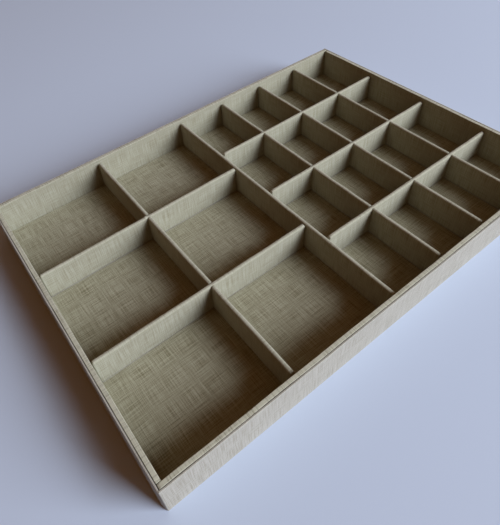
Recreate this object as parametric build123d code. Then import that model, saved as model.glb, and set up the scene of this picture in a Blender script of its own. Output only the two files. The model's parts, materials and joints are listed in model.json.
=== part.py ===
"""Linen-covered jewelry tray with twenty-two compartments, in millimetres.

The long side runs along X, the front wall faces -Y, and Z points up.
The origin is the centre of the underside. A shallow box of thin board is
wrapped in linen, lined with four covered strips, and divided by a fixed
partition. A loose grid of three covered strips makes the large
compartments, and a loose grid of six makes the small ones.
"""

import os

from build123d import *

# The whole tray
tray_length = 350.0
tray_width = 244.0
tray_height = 30.0

# Linen, with the paste that holds it
cloth_thickness = 0.3
# One overrun serves every cut that has to pass a face
overrun = 1.0

# Outer walls: thin board inside a linen wrap that is turned over the top
outer_board_thickness = 0.4
outer_corner_radius = 0.8
wrap_turn_in = 12.0
wrap_edge_size = 0.3

# Liner strips inside the outer walls
wall_seam = 0.2
liner_board_thickness = 2.2
liner_edge_radius = 0.85
liner_end_radius = 1.0
liner_butt_gap = 0.3

# Base and floor
base_board_thickness = 2.1
floor_card_thickness = 1.0
floor_edge_gap = 0.3

# Divider strips, with their linen folded over the top edge
divider_board_thickness = 2.4
divider_drop = 2.8
divider_edge_radius = 1.1
divider_end_radius = 2.0
slot_side_gap = 0.1
slot_end_gap = 0.2

# How far a board's top edges are eased, of the radius that its linen takes
board_ease_share = 0.7

# Where the strips stand
partition_offset = -5.6
partition_end_gap = 0.3
wall_end_gap = 0.5
partition_side_gap = 0.8
back_end_gap = 0.4
front_end_gap = 1.8
large_columns = 2
large_rows = 3
small_columns = 4
small_rows = 4
large_grid_shift_x = 1.7
large_grid_shift_y = -1.3
small_grid_shift_x = 1.1
small_grid_shift_y = -0.7

# Worked-out sizes of the walls
outer_wall_thickness = outer_board_thickness + 2 * cloth_thickness
liner_thickness = liner_board_thickness + 2 * cloth_thickness
liner_outset = outer_wall_thickness + wall_seam
wall_thickness = liner_outset + liner_thickness
inner_length = tray_length - 2 * wall_thickness
inner_width = tray_width - 2 * wall_thickness

# Worked-out levels
base_bottom = cloth_thickness
base_top = base_bottom + base_board_thickness
floor_card_top = base_top + floor_card_thickness
floor_top = floor_card_top + cloth_thickness
divider_top = tray_height - divider_drop
divider_height = divider_top - floor_top
divider_thickness = divider_board_thickness + 2 * cloth_thickness

# Worked-out places of the partition and of both grids
left_face = -inner_length / 2
right_face = inner_length / 2
front_face = -inner_width / 2
back_face = inner_width / 2
partition_left = partition_offset - divider_thickness / 2
partition_right = partition_offset + divider_thickness / 2


def spread(low, high, count, shift):
    """Centres of the strips that part a span into equal compartments."""
    pitch = (high - low) / count
    return [low + pitch * step + shift for step in range(1, count)]


large_cross_places = spread(left_face, partition_offset, large_columns, large_grid_shift_x)
large_long_places = spread(front_face, back_face, large_rows, large_grid_shift_y)
small_cross_places = spread(partition_offset, right_face, small_columns, small_grid_shift_x)
small_long_places = spread(front_face, back_face, small_rows, small_grid_shift_y)


def block(low, high):
    """A box between two corners."""
    size = [b - a for a, b in zip(low, high)]
    corner = Box(*size, align=(Align.MIN, Align.MIN, Align.MIN))
    return Pos(*low) * corner


def rounded_slab(length, width, corner_radius, bottom, top):
    """A flat slab with rounded upright corners."""
    outline = RectangleRounded(length, width, corner_radius)
    return Pos(0, 0, bottom) * extrude(outline, top - bottom)


def wall_ring(outer_inset, inner_inset, bottom, top):
    """A band that follows the tray's walls between two insets from the outside."""
    outer_radius = outer_corner_radius - min(outer_inset, outer_corner_radius / 2)
    inner_radius = outer_corner_radius / 4
    outside = rounded_slab(
        tray_length - 2 * outer_inset, tray_width - 2 * outer_inset, outer_radius, bottom, top
    )
    inside = rounded_slab(
        tray_length - 2 * inner_inset,
        tray_width - 2 * inner_inset,
        inner_radius,
        bottom - overrun,
        top + overrun,
    )
    return outside - inside


def strip(length, thickness, height, end_radius, top_profile):
    """A strip standing on its long edge along X, rounded at its upper ends.

    Its bottom is at zero height and its middle is at the origin. The long top
    edges follow the profile that is passed in, drawn across the thickness.
    """
    outline = Rectangle(length, height, align=(Align.CENTER, Align.MIN))
    upper_corners = outline.vertices().group_by(Axis.Y)[-1]
    outline = fillet(upper_corners, end_radius)
    side_view = extrude(Plane.XZ * outline, thickness, both=True)
    long_bar = extrude(Plane.YZ * top_profile, length, both=True)
    return side_view & long_bar


def rounded_profile(thickness, height, edge_radius):
    """The section of a covered strip: its linen rounds both top edges."""
    section = Rectangle(thickness, height, align=(Align.CENTER, Align.MIN))
    return fillet(section.vertices().group_by(Axis.Y)[-1], edge_radius)


def eased_profile(thickness, height, edge_size):
    """The section of a board strip: both top edges are eased flat."""
    section = Rectangle(thickness, height, align=(Align.CENTER, Align.MIN))
    return chamfer(section.vertices().group_by(Axis.Y)[-1], edge_size)


def covered_strip(length, board_thickness, height, end_radius, edge_radius):
    """A board strip and the linen over its sides, ends and top."""
    whole_thickness = board_thickness + 2 * cloth_thickness
    board_height = height - cloth_thickness
    board_edge = (edge_radius - cloth_thickness) * board_ease_share
    whole = strip(
        length,
        whole_thickness,
        height,
        end_radius,
        rounded_profile(whole_thickness, height, edge_radius),
    )
    board = strip(
        length - 2 * cloth_thickness,
        board_thickness,
        board_height,
        end_radius - cloth_thickness,
        eased_profile(board_thickness, board_height, board_edge),
    )
    return board, whole - board


def divider(length):
    """A covered divider strip of the given length."""
    return covered_strip(
        length, divider_board_thickness, divider_height, divider_end_radius, divider_edge_radius
    )


def slot_cutter(place, from_top):
    """The room that a crossing strip needs, at a place along the strip."""
    width = divider_thickness + 2 * slot_side_gap
    half = divider_height / 2
    low, high = (half, divider_height + overrun) if from_top else (-overrun, half + slot_end_gap)
    return block(
        (place - width / 2, -divider_thickness, low), (place + width / 2, divider_thickness, high)
    )


def slotted_divider(length, slot_places, from_top):
    """A covered divider with half-height slots, and its linen cut alike."""
    board, cloth = divider(length)
    for place in slot_places:
        cutter = slot_cutter(place, from_top)
        board = board - cutter
        cloth = cloth - cutter
    return board, cloth


def save(name, shape):
    """Write one node."""
    export_step(shape, os.path.join("parts", name + ".step"))


def save_pair(name, pair, place):
    """Write a board and its linen where they stand."""
    board, cloth = pair
    save(name + "_board", place * board)
    save(name + "_cloth", place * cloth)


def outer_walls():
    """Four thin boards round the tray, in one linen wrap turned over their tops."""
    board_inset = cloth_thickness + outer_board_thickness
    board_top = tray_height - cloth_thickness
    ring = wall_ring(cloth_thickness, board_inset, base_bottom, board_top)
    long_low = tray_width / 2 - board_inset
    half_length = tray_length / 2
    half_width = tray_width / 2
    cutters = {
        "front": ((-half_length, -half_width, 0), (half_length, -long_low, tray_height)),
        "back": ((-half_length, long_low, 0), (half_length, half_width, tray_height)),
        "left": ((-half_length, -long_low, 0), (0, long_low, tray_height)),
        "right": ((0, -long_low, 0), (half_length, long_low, tray_height)),
    }
    for side, (low, high) in cutters.items():
        save(side + "_outer_board", ring & block(low, high))

    wrap = wall_ring(0, outer_wall_thickness, 0, tray_height)
    rim_face = wrap.faces().sort_by(Axis.Z)[-1]
    wrap = chamfer(rim_face.edges(), wrap_edge_size)
    wrap = wrap - wall_ring(cloth_thickness, board_inset, -overrun, board_top)
    turn_in_level = tray_height - wrap_turn_in
    behind_boards = wall_ring(
        board_inset, outer_wall_thickness + overrun, -overrun, turn_in_level
    )
    save("outer_wrap_cloth", wrap - behind_boards)


def base_and_floor():
    """The underside linen, the base board, the floor card and the floor linen."""
    under_inset = cloth_thickness + outer_board_thickness / 2
    save(
        "underside_cloth",
        rounded_slab(
            tray_length - 2 * under_inset,
            tray_width - 2 * under_inset,
            outer_corner_radius / 2,
            0,
            base_bottom,
        ),
    )
    base_inset = cloth_thickness + outer_board_thickness
    half_length = tray_length / 2 - base_inset
    half_width = tray_width / 2 - base_inset
    save(
        "base_board",
        block((-half_length, -half_width, base_bottom), (half_length, half_width, base_top)),
    )
    floor_right = right_face - floor_edge_gap
    floor_back = back_face - floor_edge_gap
    levels = {
        "floor_card": (base_top, floor_card_top),
        "floor_cloth": (floor_card_top, floor_top),
    }
    for name, (bottom, top) in levels.items():
        save(name, block((-floor_right, -floor_back, bottom), (floor_right, floor_back, top)))


def liners():
    """Covered strips inside the walls: the long ones run through, the short ones butt."""
    height = tray_height - base_top
    long_length = tray_length - 2 * liner_outset
    short_length = inner_width - 2 * liner_butt_gap
    shape = (liner_board_thickness, height, liner_end_radius, liner_edge_radius)
    across = inner_width / 2 + liner_thickness / 2
    along = inner_length / 2 + liner_thickness / 2
    quarter_turn = Rot(0, 0, 90)
    save_pair("front_liner", covered_strip(long_length, *shape), Pos(0, -across, base_top))
    save_pair("back_liner", covered_strip(long_length, *shape), Pos(0, across, base_top))
    short_left = Pos(-along, 0, base_top) * quarter_turn
    short_right = Pos(along, 0, base_top) * quarter_turn
    save_pair("left_liner", covered_strip(short_length, *shape), short_left)
    save_pair("right_liner", covered_strip(short_length, *shape), short_right)


def partition():
    """The fixed strip between the large and the small compartments."""
    place = Pos(partition_offset, 0, floor_top) * Rot(0, 0, 90)
    save_pair("partition", divider(inner_width - 2 * partition_end_gap), place)


def grid(name, left_end, right_end, cross_places, long_places):
    """Strips that cross in half-height slots: the lengthwise ones lie on top."""
    front_end = front_face + front_end_gap
    back_end = back_face - back_end_gap
    cross_middle = (front_end + back_end) / 2
    long_middle = (left_end + right_end) / 2
    for number, place_x in enumerate(cross_places, start=1):
        slots = [place_y - cross_middle for place_y in long_places]
        pair = slotted_divider(back_end - front_end, slots, True)
        place = Pos(place_x, cross_middle, floor_top) * Rot(0, 0, 90)
        save_pair(f"{name}_cross_divider_{number}", pair, place)
    for number, place_y in enumerate(long_places, start=1):
        slots = [place_x - long_middle for place_x in cross_places]
        pair = slotted_divider(right_end - left_end, slots, False)
        place = Pos(long_middle, place_y, floor_top)
        save_pair(f"{name}_long_divider_{number}", pair, place)


def main():
    """Build and write every node."""
    os.makedirs("parts", exist_ok=True)
    base_and_floor()
    outer_walls()
    liners()
    partition()
    grid(
        "large",
        left_face + wall_end_gap,
        partition_left - partition_side_gap,
        large_cross_places,
        large_long_places,
    )
    grid(
        "small",
        partition_right + partition_side_gap,
        right_face - wall_end_gap,
        small_cross_places,
        small_long_places,
    )


main()
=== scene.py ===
import json
import math

import bmesh
import bpy
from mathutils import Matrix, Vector, noise


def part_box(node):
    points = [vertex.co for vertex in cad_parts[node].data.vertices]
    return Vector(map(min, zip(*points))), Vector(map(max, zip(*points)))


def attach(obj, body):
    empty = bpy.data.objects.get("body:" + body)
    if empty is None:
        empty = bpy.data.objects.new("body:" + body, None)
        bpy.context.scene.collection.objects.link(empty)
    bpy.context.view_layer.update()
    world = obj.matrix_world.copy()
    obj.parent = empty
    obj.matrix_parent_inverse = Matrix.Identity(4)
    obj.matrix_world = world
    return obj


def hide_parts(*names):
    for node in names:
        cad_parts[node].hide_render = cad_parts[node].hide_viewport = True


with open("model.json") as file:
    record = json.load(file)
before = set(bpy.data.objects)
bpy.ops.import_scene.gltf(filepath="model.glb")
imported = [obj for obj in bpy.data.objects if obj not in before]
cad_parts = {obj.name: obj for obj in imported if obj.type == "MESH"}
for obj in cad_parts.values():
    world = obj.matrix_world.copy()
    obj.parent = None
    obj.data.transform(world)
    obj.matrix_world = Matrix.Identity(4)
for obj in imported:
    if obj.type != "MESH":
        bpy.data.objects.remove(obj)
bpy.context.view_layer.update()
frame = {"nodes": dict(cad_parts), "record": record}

MM = 0.001

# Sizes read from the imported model
tray_low, tray_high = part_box("outer_wrap_cloth")
tray_length = tray_high.x - tray_low.x
tray_width = tray_high.y - tray_low.y
tray_height = tray_high.z

# Cloth
cloth_skin = 0.25 * MM
thread_pitch = 0.55 * MM

# How far the threads wander, in threads, and how slowly
wander = (2.2, 2.2, 0.0)
wander_scale = 0.035
wander_detail = 2.0
# Where each seed starts on the endless cloth
seed_step_u, seed_step_v = 13.7, 5.3
# How much a thread narrows where it dips under another
thread_dip = 0.4
# Runs of like threads: how fast they change across the threads and along them
broad_run = (0.30, 0.020)
streak_run = (0.75, 0.025)
fine_run = (1.15, 0.035)
slub_run = (0.5, 0.06)
weft_shift = 9.0
slub_range = (0.62, 0.74)
slow_scale, slow_detail = 0.028, 3.0
# The tone between the dark and the light colour: its mean, and the mean and share of its parts
mean_tone = 0.59
noise_mean, weave_mean, slub_mean = 0.5, 0.54, 0.3
streak_share, fine_share = 0.6, 3.3
broad_share, slub_share, slow_share = 0.12, 0.06, 0.08
tone_range = (0.05, 1.05)
# Rubbed edges, tops painted paler as a highlight, and painted shade in seams and at strips' feet
worn_and_lit_range = (0.2, 0.6)
worn_and_lit_pale, worn_and_lit_strength = 1.35, 0.9
painted_shade_dark, painted_shade_strength = 0.16, 0.95
# Height of the threads
streak_height, slub_height = 0.5, 0.2
thread_relief, thread_bump = 0.12 * MM, 0.5

# Greyboard, with its scales per metre
fibre_scale, fibre_detail, fibre_roughness = 900.0, 5.0, 0.7
speck_scale, speck_detail = 2600.0, 1.0
cloud_scale, cloud_detail = 45.0, 3.0
speck_range = (0.66, 0.72)
board_range = (0.35, 0.85)
fibre_share, cloud_share, speck_share = 0.7, 0.5, 0.5
speck_colour = (0.12, 0.10, 0.08, 1.0)
board_relief, board_bump = 0.1 * MM, 0.6


class Tree:
    """A material's nodes, with short calls for sums of them."""

    def __init__(self, name):
        self.material = bpy.data.materials.new(name)
        self.material.use_nodes = True
        self.nodes = self.material.node_tree.nodes
        self.links = self.material.node_tree.links
        self.shader = self.nodes["Principled BSDF"]

    def put(self, socket, value):
        if hasattr(value, "is_output"):
            self.links.new(value, socket)
        elif value is not None:
            socket.default_value = value

    def math(self, operation, first, second=None, third=None):
        node = self.nodes.new("ShaderNodeMath")
        node.operation = operation
        for socket, value in zip(node.inputs, (first, second, third)):
            self.put(socket, value)
        return node.outputs[0]

    def vector(self, operation, first, second=None):
        node = self.nodes.new("ShaderNodeVectorMath")
        node.operation = operation
        self.put(node.inputs[0], first)
        self.put(node.inputs[1], second)
        return node.outputs[0]

    def combine(self, x, y, z):
        node = self.nodes.new("ShaderNodeCombineXYZ")
        for socket, value in zip(node.inputs, (x, y, z)):
            self.put(socket, value)
        return node.outputs[0]

    def separate(self, vector):
        node = self.nodes.new("ShaderNodeSeparateXYZ")
        self.put(node.inputs[0], vector)
        return node.outputs

    def attribute(self, name):
        node = self.nodes.new("ShaderNodeAttribute")
        node.attribute_name = name
        return node.outputs["Fac"]

    def noise(self, vector, scale, detail, roughness=0.5):
        node = self.nodes.new("ShaderNodeTexNoise")
        self.put(node.inputs["Vector"], vector)
        node.inputs["Scale"].default_value = scale
        node.inputs["Detail"].default_value = detail
        node.inputs["Roughness"].default_value = roughness
        return node.outputs

    def smooth(self, value, low, high):
        node = self.nodes.new("ShaderNodeMapRange")
        node.interpolation_type = "SMOOTHSTEP"
        node.inputs["From Min"].default_value = low
        node.inputs["From Max"].default_value = high
        self.put(node.inputs["Value"], value)
        return node.outputs["Result"]

    def blend(self, factor, first, second):
        node = self.nodes.new("ShaderNodeMix")
        node.data_type = "RGBA"
        self.put(node.inputs["Factor"], factor)
        colours = [socket for socket in node.inputs if socket.type == "RGBA"]
        self.put(colours[0], first)
        self.put(colours[1], second)
        return next(socket for socket in node.outputs if socket.type == "RGBA")

    def bump(self, height, distance, strength):
        node = self.nodes.new("ShaderNodeBump")
        node.inputs["Distance"].default_value = distance
        node.inputs["Strength"].default_value = strength
        self.put(node.inputs["Height"], height)
        return node.outputs[0]


def linen(name, light, dark, seed, upright=0.6, crisp=0.5, weave_share=0.6):
    """Plain-weave linen with uneven threads, slubs and slow changes of tone.

    Upright is the warp's share of the thread runs, crisp how far single threads stand
    out and weave_share how far the weave does.
    """
    tree = Tree(name)
    chart = tree.nodes.new("ShaderNodeUVMap")
    chart.uv_map = "cloth"
    in_threads = tree.vector("SCALE", chart.outputs[0])
    in_threads.node.inputs["Scale"].default_value = 1 / thread_pitch
    shifted = tree.vector("ADD", in_threads, (seed * seed_step_u, seed * seed_step_v, seed))
    wobble = tree.noise(shifted, wander_scale, wander_detail)["Color"]
    wobble = tree.vector("SUBTRACT", wobble, (noise_mean, noise_mean, noise_mean))
    wobble = tree.vector("MULTIPLY", wobble, wander)
    threads = tree.vector("ADD", shifted, wobble)
    u, v, _ = tree.separate(threads)
    over_u = tree.math("ABSOLUTE", tree.math("SINE", tree.math("MULTIPLY", u, math.pi)))
    over_v = tree.math("ABSOLUTE", tree.math("SINE", tree.math("MULTIPLY", v, math.pi)))
    parity = tree.math("ADD", tree.math("FLOOR", u), tree.math("FLOOR", v))
    parity = tree.math("PINGPONG", parity, 1.0)
    swell_u = tree.math("MULTIPLY_ADD", over_u, thread_dip, 1 - thread_dip)
    swell_v = tree.math("MULTIPLY_ADD", over_v, thread_dip, 1 - thread_dip)
    warp = tree.math("MULTIPLY", over_u, swell_v)
    weft = tree.math("MULTIPLY", over_v, swell_u)
    warp_seen = tree.math("MULTIPLY", warp, tree.math("SUBTRACT", 1.0, parity))
    weft_seen = tree.math("MULTIPLY", weft, parity)
    weave = tree.math("ADD", warp_seen, weft_seen)

    def along_threads(run, shift):
        """Noise stretched along the warp, and the same along the weft."""
        across, along = run
        u_across, v_along = tree.math("MULTIPLY", u, across), tree.math("MULTIPLY", v, along)
        u_along, v_across = tree.math("MULTIPLY", u, along), tree.math("MULTIPLY", v, across)
        first = tree.combine(u_across, v_along, shift)
        second = tree.combine(u_along, v_across, shift + weft_shift)
        return [tree.noise(place, 1.0, 0.0)["Fac"] for place in (first, second)]

    def crossed(run, shift):
        """The two thread directions added up, each with its share."""
        warp_part, weft_part = along_threads(run, shift)
        weft_part = tree.math("MULTIPLY", weft_part, 1 - upright)
        return tree.math("MULTIPLY_ADD", warp_part, upright, weft_part)

    broad = crossed(broad_run, seed)
    streaks = crossed(streak_run, seed + 2.0)
    fine = crossed(fine_run, seed + 5.0)
    slub_pair = along_threads(slub_run, seed + 3.0)
    slubs = tree.math("ADD", *[tree.smooth(part, *slub_range) for part in slub_pair])
    slow = tree.noise(shifted, slow_scale, slow_detail)["Fac"]
    parts = (
        (streaks, noise_mean, streak_share * crisp),
        (broad, noise_mean, broad_share),
        (fine, noise_mean, fine_share * crisp),
        (weave, weave_mean, weave_share),
        (slubs, slub_mean, slub_share),
        (slow, noise_mean, slow_share),
    )
    tone = mean_tone - sum(mean * share for _, mean, share in parts)
    for part, _, share in parts:
        tone = tree.math("MULTIPLY_ADD", part, share, tone)
    tone = tree.smooth(tone, *tone_range)
    colour = tree.blend(tone, (*dark, 1.0), (*light, 1.0))
    # Paler where rubbed on the edges, and a painted highlight over the tops of the strips
    worn_and_lit = tree.math("MULTIPLY", tree.attribute("wear_and_top_highlight"), tree.smooth(streaks, *worn_and_lit_range))
    worn_and_lit = tree.math("MULTIPLY", worn_and_lit, worn_and_lit_strength)
    worn_and_lit_colour = [min(1.0, channel * worn_and_lit_pale) for channel in light]
    colour = tree.blend(worn_and_lit, colour, (*worn_and_lit_colour, 1.0))
    # Painted shade: near-black in the seams and at the feet of the strips
    shade_share = tree.math("MULTIPLY", tree.attribute("painted_shade"), painted_shade_strength)
    shade_colour = [channel * painted_shade_dark for channel in dark]
    colour = tree.blend(shade_share, colour, (*shade_colour, 1.0))
    tree.put(tree.shader.inputs["Base Color"], colour)
    tree.shader.inputs["Roughness"].default_value = 0.93
    tree.shader.inputs["Specular IOR Level"].default_value = 0.18
    tree.shader.inputs["Sheen Weight"].default_value = 0.16
    tree.shader.inputs["Sheen Roughness"].default_value = 0.5
    height = tree.math("MULTIPLY_ADD", streaks, streak_height, weave)
    height = tree.math("MULTIPLY_ADD", slubs, slub_height, height)
    tree.put(tree.shader.inputs["Normal"], tree.bump(height, thread_relief, thread_bump))
    return tree.material


def greyboard(name, light, dark):
    """Raw pulp board with fibres, clouds and specks."""
    tree = Tree(name)
    place = tree.nodes.new("ShaderNodeTexCoord").outputs["Object"]
    fibres = tree.noise(place, fibre_scale, fibre_detail, fibre_roughness)["Fac"]
    specks = tree.smooth(tree.noise(place, speck_scale, speck_detail)["Fac"], *speck_range)
    clouds = tree.noise(place, cloud_scale, cloud_detail)["Fac"]
    tone = tree.math("MULTIPLY", clouds, cloud_share)
    tone = tree.math("MULTIPLY_ADD", fibres, fibre_share, tone)
    colour = tree.blend(tree.smooth(tone, *board_range), (*dark, 1.0), (*light, 1.0))
    colour = tree.blend(tree.math("MULTIPLY", specks, speck_share), colour, speck_colour)
    tree.put(tree.shader.inputs["Base Color"], colour)
    tree.shader.inputs["Roughness"].default_value = 0.95
    tree.shader.inputs["Specular IOR Level"].default_value = 0.15
    tree.put(tree.shader.inputs["Normal"], tree.bump(fibres, board_relief, board_bump))
    return tree.material


linen_light = (0.432, 0.420, 0.318)
linen_dark = (0.273, 0.246, 0.160)
# Painted light: the outer wrap's linen is the inner linen made paler, so the outer walls come out
# brighter than the faces inside
outer_light = (0.455, 0.428, 0.360)
outer_dark = (0.322, 0.290, 0.226)
floor_light = (0.475, 0.452, 0.320)
floor_dark = (0.215, 0.190, 0.105)
skins = {
    "outer_linen": linen(
        "outer_linen", outer_light, outer_dark, 1.0, upright=0.58, crisp=1.2, weave_share=1.2
    ),
    "liner_linen": linen("liner_linen", linen_light, linen_dark, 2.0),
    "divider_linen": linen("divider_linen", linen_light, linen_dark, 3.0),
    "floor_linen": linen(
        "floor_linen", floor_light, floor_dark, 4.0, upright=0.5, crisp=0.85, weave_share=1.2
    ),
    "underside_linen": linen("underside_linen", linen_light, linen_dark, 5.0),
}
boards = {
    "grey_board": greyboard("grey_board", (0.40, 0.375, 0.32), (0.25, 0.23, 0.19)),
    "floor_card": greyboard("floor_card", (0.52, 0.47, 0.37), (0.36, 0.32, 0.24)),
}

# The linen's cut edge at the foot of a divider, and the fold that stands up at a crossing
foot_lift_height = 0.5 * MM
foot_tuck = 0.35 * MM
foot_depth = 0.75 * MM
knot_width = 1.0 * MM
knot_rows = 6
# Rubbed edges and a painted highlight on a strip's top; painted shade in a seam from a little below
# the top
divider_wear_and_highlight, liner_wear_and_highlight = 0.42, 1.0
seam_depth = 0.12 * MM
liner_seam_depth = 0.20 * MM
# How finely a strip is divided
strip_spacing, top_spacing = 2.2 * MM, 0.5 * MM
edge_steps = 4
foot_rows = (0.0, 0.2 * MM, 0.45 * MM, 0.9 * MM)
least_row = 0.5 * MM
# How the linen wavers on a strip: the reach and the height of each waver
side_reach, side_waver = 21 * MM, 0.16 * MM
close_reach, close_waver = 6 * MM, 0.05 * MM
top_reach, top_waver = 17 * MM, 0.14 * MM
# How fast a round end and a standing fold fade out below the top
end_fade, knot_fade = 8, 6


def axis_stops(half, radius, spacing):
    """Grid stops along one side: even between its round ends, and even round each arc."""
    flat = half - radius
    count = max(2, round(2 * flat / spacing))
    stops = [-flat + 2 * flat * step / count for step in range(count + 1)]
    arc = arc_stops(flat, radius)
    return [-stop for stop in reversed(arc)] + stops + arc


def arc_stops(flat, radius):
    """Grid stops past the flat part that fall evenly on the arc."""
    angles = [math.pi / 4 * step / edge_steps for step in range(1, edge_steps + 1)]
    return [flat + radius * math.tan(angle) for angle in angles]


def waver(place, scale, seed):
    """Smooth noise from -1 to 1 at a place, seeded by its third number."""
    return noise.noise(Vector((place[0] / scale, place[1] / scale, seed)))


def covered_strip_mesh(name, size, edge_radius, end_radius, seed, foot_lift, knots, seam_side):
    """The linen over a strip: a soft-edged upright bar with no underside, along X.

    Its cut edge may end a little above the floor, tucked in, with painted shade just above
    it, and the fold over the top may stand up at knots, each a place along the strip and a
    height. The side that faces a seam, 1 or -1 across the strip, has painted shade below its
    top edge. Its edges are rubbed paler and its whole top is painted paler as a highlight.
    """
    half_x, half_y, height = size[0] / 2, size[1] / 2, size[2]
    stops_x = axis_stops(half_x, edge_radius, strip_spacing)
    for place, _ in knots:
        stops_x += [place + step * knot_width / 3 for step in range(-knot_rows, knot_rows + 1)]
    stops_x = sorted(stops_x)
    stops_y = axis_stops(half_y, edge_radius, top_spacing)
    low_stops = [foot_lift + step for step in foot_rows]
    flat_top = height - edge_radius
    rows = max(4, round(flat_top / strip_spacing))
    mid_stops = [flat_top * step / rows for step in range(1, rows + 1)]
    mid_stops = [stop for stop in mid_stops if stop > low_stops[-1] + least_row]
    stops_z = low_stops + mid_stops + arc_stops(flat_top, edge_radius)
    bm = bmesh.new()
    chart = bm.loops.layers.uv.new("cloth")
    wear_and_top_highlight = bm.verts.layers.float.new("wear_and_top_highlight")
    painted_shade = bm.verts.layers.float.new("painted_shade")
    made = {}

    def corner(i, j, k):
        """The vertex at three grid stops, made once."""
        if (i, j, k) in made:
            return made[i, j, k]
        place = Vector((stops_x[i], stops_y[j], stops_z[k]))
        core = Vector((
            max(-half_x + edge_radius, min(half_x - edge_radius, place.x)),
            max(-half_y + edge_radius, min(half_y - edge_radius, place.y)),
            min(height - edge_radius, place.z),
        ))
        out = place - core
        soft = core + out.normalized() * edge_radius
        past = abs(soft.x) - (half_x - end_radius)
        if past > 0:
            drop = end_radius - math.sqrt(max(0.0, end_radius ** 2 - past ** 2))
            soft.z -= drop * (place.z / height) ** end_fade
        side = (out.y > 0) - (out.y < 0)
        soft.y += waver((place.x, place.z), side_reach, seed) * side_waver
        soft.y += waver((place.x, place.z), close_reach, seed + 4 + side) * close_waver
        soft.z += waver((place.x, 0), top_reach, seed + 9) * top_waver * (place.z / height)
        for knot, rise in knots:
            near = math.exp(-(((place.x - knot) / knot_width) ** 2))
            soft.z += rise * near * (place.z / height) ** knot_fade
        low_share = max(0.0, 1 - (place.z - foot_lift) / foot_depth)
        if foot_lift:
            tuck = foot_tuck * low_share ** 2
            soft.y -= math.copysign(min(tuck, abs(out.y)), out.y)
            soft.x -= math.copysign(min(tuck, abs(out.x)), out.x)
        vert = bm.verts.new(soft)
        turned = sorted((abs(out.x), abs(out.y), abs(out.z)))[1]
        # Rounded edges rubbed paler, and the whole top painted paler as a highlight
        wear_and_highlight_share = liner_wear_and_highlight if seam_side else divider_wear_and_highlight
        vert[wear_and_top_highlight] = wear_and_highlight_share * max(min(1.0, turned / edge_radius), max(0.0, out.z) / edge_radius)
        # Painted shade on the side that faces the seam, below its top edge
        if seam_side and out.y * seam_side > 0 and place.z < height - liner_seam_depth:
            vert[painted_shade] = 1.0
        # Painted shade at the foot, fading out over foot_depth
        if foot_lift:
            vert[painted_shade] = low_share
        made[i, j, k] = vert
        return vert

    def patch(corners, charts):
        """One face, with its place on the flat cloth."""
        face = bm.faces.new(corners)
        for loop, place in zip(face.loops, charts):
            loop[chart].uv = place

    nx, ny, nz = len(stops_x), len(stops_y), len(stops_z)
    for i in range(nx - 1):
        for k in range(nz - 1):
            front = [(i, k), (i + 1, k), (i + 1, k + 1), (i, k + 1)]
            patch(
                [corner(a, 0, b) for a, b in front],
                [(stops_x[a], stops_z[b]) for a, b in front],
            )
            back = [(i + 1, k), (i, k), (i, k + 1), (i + 1, k + 1)]
            patch(
                [corner(a, ny - 1, b) for a, b in back],
                [(stops_x[a], 2 * height + size[1] - stops_z[b]) for a, b in back],
            )
        for j in range(ny - 1):
            top = [(i, j), (i + 1, j), (i + 1, j + 1), (i, j + 1)]
            patch(
                [corner(a, b, nz - 1) for a, b in top],
                [(stops_x[a], height + half_y + stops_y[b]) for a, b in top],
            )
    for j in range(ny - 1):
        for k in range(nz - 1):
            left = [(j + 1, k), (j, k), (j, k + 1), (j + 1, k + 1)]
            patch(
                [corner(0, a, b) for a, b in left],
                [(-half_x - half_y - stops_y[a], stops_z[b]) for a, b in left],
            )
            right = [(j, k), (j + 1, k), (j + 1, k + 1), (j, k + 1)]
            patch(
                [corner(nx - 1, a, b) for a, b in right],
                [(half_x + half_y + stops_y[a], stops_z[b]) for a, b in right],
            )
    return mesh_from(bm, name)


def mesh_from(bm, name):
    """Turn the built faces into a mesh."""
    mesh = bpy.data.meshes.new(name)
    bm.to_mesh(mesh)
    bm.free()
    return mesh


def add_object(name, data, material=None):
    """Put a mesh, a lamp or the camera in the scene."""
    piece = bpy.data.objects.new(name, data)
    bpy.context.scene.collection.objects.link(piece)
    if material:
        data.materials.append(material)
    return piece


def apply_modifiers(piece):
    """Make what the modifiers give the piece's own mesh."""
    graph = bpy.context.evaluated_depsgraph_get()
    done = bpy.data.meshes.new_from_object(piece.evaluated_get(graph), depsgraph=graph)
    old = piece.data
    piece.modifiers.clear()
    piece.data = done
    done.name = piece.name
    bpy.data.meshes.remove(old)


def thicken(piece):
    """Give a cloth surface its thickness, inwards."""
    solidify = piece.modifiers.new("cloth", "SOLIDIFY")
    solidify.thickness = cloth_skin
    solidify.offset = -1
    solidify.use_even_offset = True


def box_object(name, low, high):
    """A plain box that cuts a slot."""
    bm = bmesh.new()
    bmesh.ops.create_cube(bm, size=1.0)
    for vert in bm.verts:
        shares = [vert.co[axis] + 0.5 for axis in range(3)]
        vert.co = [low[axis] + shares[axis] * (high[axis] - low[axis]) for axis in range(3)]
    return add_object(name, mesh_from(bm, name))


def cut_slots(piece, boxes):
    """Cut the room that crossing strips need."""
    cutters = []
    for number, (low, high) in enumerate(boxes):
        cutter = box_object(f"{piece.name}_slot_{number}", low, high)
        cut = piece.modifiers.new(cutter.name, "BOOLEAN")
        cut.operation = "DIFFERENCE"
        cut.solver = "EXACT"
        cut.object = cutter
        cutters.append(cutter)
    apply_modifiers(piece)
    for cutter in cutters:
        mesh = cutter.data
        bpy.data.objects.remove(cutter)
        bpy.data.meshes.remove(mesh)


def smooth(piece, degrees=50):
    """Shade a piece smooth between edges sharper than an angle."""
    piece.data.polygons.foreach_set("use_smooth", [True] * len(piece.data.polygons))
    piece.data.set_sharp_from_angle(angle=math.radians(degrees))


def dress(piece, node, body):
    """Let a piece stand for its node, on its body."""
    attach(piece, body)
    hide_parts(node)


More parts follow.
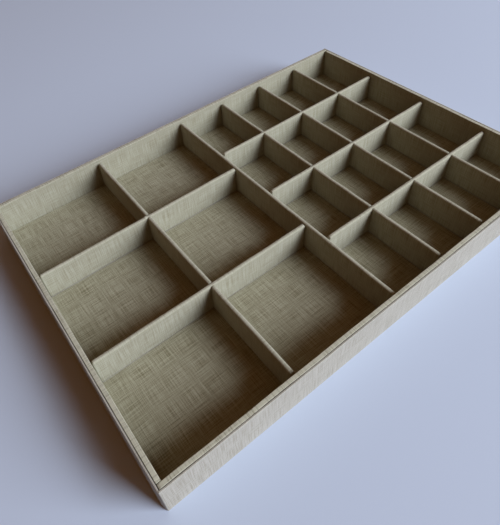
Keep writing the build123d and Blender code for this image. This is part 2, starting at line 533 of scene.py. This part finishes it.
def strip_piece(
    node,
    body,
    slot,
    edge_radius,
    end_radius,
    seed,
    slots=(),
    foot_lift=0.0,
    knots=(),
    seam_side=0,
    reach=(0.0, 0.0),
):
    """The linen cover of one node, remade with soft edges."""
    low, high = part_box(node)
    low = Vector((low.x - reach[0], low.y, low.z))
    high = Vector((high.x + reach[1], high.y, high.z))
    size = high - low
    along_x = size.x > size.y
    length, thickness = (size.x, size.y) if along_x else (size.y, size.x)
    name = node.replace("_cloth", "_linen")
    shape = (length, thickness, size.z)
    middle = (low + high) / 2
    knots = [(place - middle.x, rise) for place, rise in knots]
    mesh = covered_strip_mesh(name, shape, edge_radius, end_radius, seed, foot_lift, knots, seam_side)
    for vert in mesh.vertices:
        x, y, z = vert.co
        from_middle = (x, y) if along_x else (-y, x)
        vert.co = (middle.x + from_middle[0], middle.y + from_middle[1], low.z + z)
    piece = add_object(name, mesh, skins[slot])
    thicken(piece)
    cut_slots(piece, slots)
    smooth(piece)
    dress(piece, node, body)
    return piece


bodies = frame["record"]["behaviour"]["bodies"]
slot_clearance = 0.1 * MM
cutter_overrun = 2 * MM
divider_edge = 1.35 * MM
free_end = 2.2 * MM
partition_end = 1.6 * MM
liner_edge, liner_end = 0.36 * MM, 0.55 * MM
# The large grid's lengthwise strips all but close their gaps, and one fold stands proud
closing_reach = (0.3 * MM, 0.6 * MM)
fold_node = "large_long_divider_2_cloth"
fold_from_crossing, fold_rise = 2.6 * MM, 0.55 * MM
# Seeds of the wavering linen
large_seed, small_seed, strip_seed_step = 10.0, 40.0, 3.1
partition_seed = 80.0
liner_seed, liner_seed_step = 90.0, 3.7


def slot_boxes(node, others, from_top):
    """Boxes that cut a strip to half its height where others cross it."""
    low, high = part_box(node)
    half = (low.z + high.z) / 2
    boxes = []
    for other in others:
        other_low, other_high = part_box(other)
        if from_top:
            box_low = (low.x - cutter_overrun, other_low.y - slot_clearance, half)
            box_high = (
                high.x + cutter_overrun, other_high.y + slot_clearance, high.z + cutter_overrun
            )
        else:
            box_low = (
                other_low.x - slot_clearance, low.y - cutter_overrun, low.z - cutter_overrun
            )
            box_high = (other_high.x + slot_clearance, high.y + cutter_overrun, half)
        boxes.append((box_low, box_high))
    return boxes


def grid_pieces(name, seed):
    """Cover every strip of one grid, with half-height slots where strips cross."""
    body = name + "_grid"
    cloths = [node for node in bodies[body] if node.endswith("_cloth")]
    crosses = sorted(node for node in cloths if "cross" in node)
    longs = sorted(node for node in cloths if "long" in node)
    closing = longs if name == "large" else []
    cross_low, cross_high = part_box(crosses[0])
    proud = [((cross_low.x + cross_high.x) / 2 - fold_from_crossing, fold_rise)]
    for number, node in enumerate(crosses + longs):
        from_top = node in crosses
        strip_piece(
            node,
            body,
            "divider_linen",
            divider_edge,
            divider_edge if node in closing else free_end,
            seed + number * strip_seed_step,
            slots=slot_boxes(node, longs if from_top else crosses, from_top),
            foot_lift=foot_lift_height,
            knots=proud if node == fold_node else (),
            reach=closing_reach if node in closing else (0.0, 0.0),
        )


grid_pieces("large", large_seed)
grid_pieces("small", small_seed)
strip_piece(
    "partition_cloth",
    "tray",
    "divider_linen",
    divider_edge,
    partition_end,
    partition_seed,
    foot_lift=foot_lift_height,
)
liner_sides = (("front", -1), ("back", 1), ("left", 1), ("right", -1))
for number, (side, seam_side) in enumerate(liner_sides):
    strip_piece(
        side + "_liner_cloth",
        "tray",
        "liner_linen",
        liner_edge,
        liner_end,
        liner_seed + number * liner_seed_step,
        seam_side=seam_side,
    )

# The wrap's section: thickness of the outer wall, depths turned in and under, and radii
outer_wall = 1.0 * MM
turn_in, turn_under = 12 * MM, 3.2 * MM
rim_radius, foot_radius = 0.22 * MM, 0.35 * MM
inside_rows, rim_steps, outside_rows = 5, 4, 12
# The wrap's way round: corners, spacing, and where its ends lap on the back wall
corner_radius, least_radius = 0.8 * MM, 0.25 * MM
corner_steps = 6
station_spacing = 2.6 * MM
near_corner = [0.4 * MM, 0.9 * MM, 1.6 * MM, 2.6 * MM]
lap_start, lap_end, lap_step = 206 * MM, 218 * MM, 0.08 * MM
lap_height = 0.2 * MM
# The fold at each corner of the rim, and the left wall's lean at its foot
fold_height, fold_reach = 0.2 * MM, 3.2 * MM
left_lean, lean_reach = 1.2 * MM, 4 * MM
facing_left = -0.99
# How the wrap wavers: the reach and the height of each waver, and how far it lies back
wall_reach, wall_waver, wall_back = 26 * MM, 0.11 * MM, 0.3
grain_reach, grain_waver = 7 * MM, 0.02 * MM
rim_reach, rim_waver, rim_sink = 19 * MM, 0.10 * MM, 0.05 * MM
waver_slant = 1.7
# How far down the rim and its waver reach, how the wrap is worn, and its painted shade in the seam
rim_depth, rim_waver_depth = 0.5 * MM, 2 * MM
foot_wear_height, wrap_wear = 0.45 * MM, 0.25
seam_reach = 0.03 * MM


def wrap_section():
    """Inset and level of the wrap's section, from inside the wall, over it and under it."""
    section = []
    for step in range(inside_rows):
        level = tray_height - turn_in + (turn_in - rim_radius) * step / inside_rows
        section.append((outer_wall, level))
    for centre, start in ((outer_wall - rim_radius, 0.0), (rim_radius, math.pi / 2)):
        for step in range(rim_steps + 1):
            angle = start + math.pi / 2 * step / rim_steps
            inset = centre + rim_radius * math.cos(angle)
            section.append((inset, tray_height - rim_radius + rim_radius * math.sin(angle)))
    drop = tray_height - rim_radius - foot_radius
    for step in range(1, outside_rows + 1):
        section.append((0.0, tray_height - rim_radius - drop * step / outside_rows))
    for step in range(1, rim_steps + 1):
        angle = math.pi / 2 * step / rim_steps
        inset = foot_radius - foot_radius * math.cos(angle)
        section.append((inset, foot_radius - foot_radius * math.sin(angle)))
    section.append((turn_under, 0.0))
    return section


def wrap_stations():
    """Places round the tray: corner signs, angle, next corner and share, the way gone and
    how far past the middle of the nearest corner, and the length of the whole way."""
    corners = [(1, -1, -math.pi / 2), (1, 1, 0.0), (-1, 1, math.pi / 2), (-1, -1, math.pi)]
    stations = []
    gone = 0.0
    arc = corner_radius * math.pi / 2
    for index, (sx, sy, start) in enumerate(corners):
        for step in range(corner_steps + 1):
            share = step / corner_steps
            angle = start + math.pi / 2 * share
            stations.append((sx, sy, angle, None, gone + arc * share, arc * (share - 0.5)))
        gone += arc
        side = (tray_width if index % 2 == 0 else tray_length) - 2 * corner_radius
        count = round(side / station_spacing)
        runs = [side * step / count for step in range(2, count - 1)]
        runs += near_corner + [side - near for near in near_corner]
        if index == 1:
            runs += [lap_start - lap_step, lap_start, lap_end]
        for run in sorted(runs):
            between = (corners[(index + 1) % 4], run / side)
            diagonal = run + arc / 2
            if run >= side / 2:
                diagonal = -min(run + arc / 2, side - run + arc / 2)
            stations.append((sx, sy, start + math.pi / 2, between, gone + run, diagonal))
        gone += side
    return stations, gone


def wrap_mesh():
    """The linen round the outer walls: turned in over the top and under the base.

    It is folded over itself at each corner of the rim, and its ends lap on the back wall.
    """
    section = wrap_section()
    stations, length = wrap_stations()
    back_start = next(item[4] for item in stations if item[:2] == (1, 1))
    back_start += corner_radius * math.pi / 2
    bm = bmesh.new()
    chart = bm.loops.layers.uv.new("cloth")
    wear_and_top_highlight = bm.verts.layers.float.new("wear_and_top_highlight")
    painted_shade = bm.verts.layers.float.new("painted_shade")
    rings = []
    reaches = [0.0]
    for number, (inset, level) in enumerate(section):
        if number:
            reaches.append(reaches[-1] + math.dist(section[number - 1], (inset, level)))
        radius = max(least_radius, corner_radius - inset)
        half_x, half_y = tray_length / 2 - inset - radius, tray_width / 2 - inset - radius
        on_rim = level > tray_height - rim_depth
        worn = (on_rim or level < foot_wear_height) and inset < outer_wall
        # Painted shade on the wrap's inner face in the seam, below the rim
        in_seam = inset > outer_wall - seam_reach and level < tray_height - seam_depth
        ring = []
        for sx, sy, angle, between, gone, diagonal in stations:
            out = Vector((math.cos(angle), math.sin(angle), 0.0))
            place = Vector((sx * half_x, sy * half_y, level)) + out * radius
            if between:
                (next_x, next_y, _), share = between
                other = Vector((next_x * half_x, next_y * half_y, level)) + out * radius
                place = place.lerp(other, share)
            along = place.x + place.y * waver_slant
            if inset == 0.0:
                loose = (waver((along, level), wall_reach, 3.0) - wall_back) * wall_waver
                loose += waver((along, level), grain_reach, 5.0) * grain_waver
                place += out * min(0.0, loose)
                if lap_start <= gone - back_start <= lap_end:
                    left = (lap_end + back_start - gone) / (lap_end - lap_start)
                    place += out * lap_height * left
            if level > tray_height - rim_waver_depth:
                place.z += waver((along, 0.0), rim_reach, 8.0) * rim_waver - rim_sink
            if on_rim and 0 <= diagonal < fold_reach:
                place.z += fold_height * (1 - diagonal / fold_reach)
            if inset < outer_wall and out.x < facing_left:
                behind = min(1.0, (tray_width / 2 - abs(place.y)) / lean_reach)
                place.x -= left_lean * behind * (1 - level / tray_height)
            vert = bm.verts.new(place)
            vert[wear_and_top_highlight] = wrap_wear if worn else 0.0
            vert[painted_shade] = 1.0 if in_seam else 0.0
            ring.append(vert)
        rings.append(ring)
    ways = [station[4] for station in stations] + [length]
    for row in range(len(section) - 1):
        for column in range(len(stations)):
            after = (column + 1) % len(stations)
            corners = (
                (rings[row][column], ways[column], reaches[row]),
                (rings[row + 1][column], ways[column], reaches[row + 1]),
                (rings[row + 1][after], ways[column + 1], reaches[row + 1]),
                (rings[row][after], ways[column + 1], reaches[row]),
            )
            face = bm.faces.new([vert for vert, _, _ in corners])
            for loop, (_, way, reach) in zip(face.loops, corners):
                loop[chart].uv = (way, reach)
    return mesh_from(bm, "outer_wrap_linen"), (reaches[-1], length)


mesh, wrap_cut = wrap_mesh()
wrap = add_object("outer_wrap_linen", mesh, skins["outer_linen"])
thicken(wrap)
apply_modifiers(wrap)
smooth(wrap, 60)
dress(wrap, "outer_wrap_cloth", "tray")

# Floor and underside: how finely they are divided, how far they waver, and how far the
# underside keeps inside its node, clear of the wrap's turned edge
floor_spacing, floor_waver = 2.0 * MM, 0.04 * MM
underside_spacing, underside_waver = 3.0 * MM, 0.01 * MM
underside_inset = 2.8 * MM
flat_reach = 23 * MM


def flat_cloth(node, slot, spacing, lift, facing_up, seed, inset=0.0):
    """A flat sheet of linen with a slight waver."""
    low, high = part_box(node)
    low = Vector((low.x + inset, low.y + inset, low.z))
    high = Vector((high.x - inset, high.y - inset, high.z))
    columns = round((high.x - low.x) / spacing)
    rows = round((high.y - low.y) / spacing)
    bm = bmesh.new()
    chart = bm.loops.layers.uv.new("cloth")
    grid = []
    for row in range(rows + 1):
        line = []
        for column in range(columns + 1):
            x = low.x + (high.x - low.x) * column / columns
            y = low.y + (high.y - low.y) * row / rows
            ripple = waver((x, y), flat_reach, seed) * lift
            level = high.z - lift + ripple if facing_up else low.z + lift + ripple
            line.append(bm.verts.new((x, y, level)))
        grid.append(line)
    for row in range(rows):
        for column in range(columns):
            corners = [
                grid[row][column],
                grid[row][column + 1],
                grid[row + 1][column + 1],
                grid[row + 1][column],
            ]
            face = bm.faces.new(corners if facing_up else corners[::-1])
            for loop in face.loops:
                loop[chart].uv = (loop.vert.co.x, loop.vert.co.y)
    name = node.replace("_cloth", "_linen")
    piece = add_object(name, mesh_from(bm, name), skins[slot])
    thicken(piece)
    apply_modifiers(piece)
    smooth(piece)
    dress(piece, node, "tray")
    return piece


flat_cloth("floor_cloth", "floor_linen", floor_spacing, floor_waver, True, 12.0)
flat_cloth(
    "underside_cloth",
    "underside_linen",
    underside_spacing,
    underside_waver,
    False,
    15.0,
    underside_inset,
)

for node, piece in frame["nodes"].items():
    if not node.endswith("_cloth"):
        slot = "floor_card" if node == "floor_card" else "grey_board"
        piece.data.materials.clear()
        piece.data.materials.append(boards[slot])

# Camera, in the photograph's place: 500 by 525 pixels
image_width, image_height = 500, 525
focal_pixels = 490.9
axis_pixel_x, axis_pixel_y = 222.2, 206.5
camera_place = Vector((-175.12, -203.29, 279.39)) * MM
camera_forward = Vector((0.37820, 0.59824, -0.70645))
camera_right = Vector((0.79980, -0.59543, -0.07606))
lens = bpy.data.cameras.new("camera")
lens.sensor_fit = "HORIZONTAL"
lens.sensor_width = 36.0
lens.lens = lens.sensor_width * focal_pixels / image_width
lens.shift_x = (image_width / 2 - axis_pixel_x) / image_width
lens.shift_y = -(image_height / 2 - axis_pixel_y) / image_width
lens.clip_start = 10 * MM
camera = add_object("camera", lens)
upward = camera_right.cross(camera_forward)
turn = camera.matrix_world.to_3x3()
turn.col[0], turn.col[1], turn.col[2] = camera_right, upward, -camera_forward
camera.matrix_world = turn.to_4x4()
camera.location = camera_place
bpy.context.scene.camera = camera

# Floor, in metres from the middle to its edges
floor_reach = 1.3
floor_signs = ((-1, -1), (1, -1), (1, 1), (-1, 1))
floor_corners = [(sx * floor_reach, sy * floor_reach, 0.0) for sx, sy in floor_signs]
floor_mesh = bpy.data.meshes.new("floor")
floor_mesh.from_pydata(floor_corners, [], [(0, 1, 2, 3)])
paper = Tree("paper")
paper.shader.inputs["Base Color"].default_value = (0.610, 0.687, 0.812, 1.0)
paper.shader.inputs["Roughness"].default_value = 1.0
paper.shader.inputs["Specular IOR Level"].default_value = 0.0
floor = add_object("floor", floor_mesh, paper.material)

# Lamps: both stand at one distance from the tray, in metres
lamp_distance = 3.4


def soft_light(name, direction, size, power, colour):
    """A soft rectangular lamp that looks at the tray from a direction."""
    lamp = bpy.data.lights.new(name, "AREA")
    lamp.shape = "RECTANGLE"
    lamp.size, lamp.size_y = size
    lamp.energy = power
    lamp.color = colour
    holder = add_object(name, lamp)
    away = Vector(direction).normalized()
    holder.location = away * lamp_distance
    holder.rotation_mode = "QUATERNION"
    holder.rotation_quaternion = away.to_track_quat("Z", "Y")


soft_light(
    "window", direction=(0.50, -0.75, 0.46), size=(1.9, 2.2), power=198.0, colour=(0.80, 0.87, 1.0)
)
soft_light(
    "fill", direction=(0.30, 0.88, 0.33), size=(2.6, 1.8), power=8.0, colour=(1.0, 0.94, 0.88)
)

# The surround lights the tray, and the camera sees the plain distance in its place
world = bpy.data.worlds.new("studio")
bpy.context.scene.world = world
world.use_nodes = True
sky_nodes, sky_links = world.node_tree.nodes, world.node_tree.links
surround = sky_nodes["Background"]
surround.inputs["Color"].default_value = (1.0, 0.40, 0.10, 1.0)
surround.inputs["Strength"].default_value = 0.105
distance_seen = sky_nodes.new("ShaderNodeBackground")
distance_seen.inputs["Color"].default_value = (0.36, 0.39, 0.46, 1.0)
ray = sky_nodes.new("ShaderNodeLightPath")
seen = sky_nodes.new("ShaderNodeMixShader")
sky_links.new(ray.outputs["Is Camera Ray"], seen.inputs["Fac"])
sky_links.new(surround.outputs[0], seen.inputs[1])
sky_links.new(distance_seen.outputs[0], seen.inputs[2])
sky_links.new(seen.outputs[0], sky_nodes["World Output"].inputs["Surface"])
bpy.context.scene.view_settings.view_transform = "Standard"
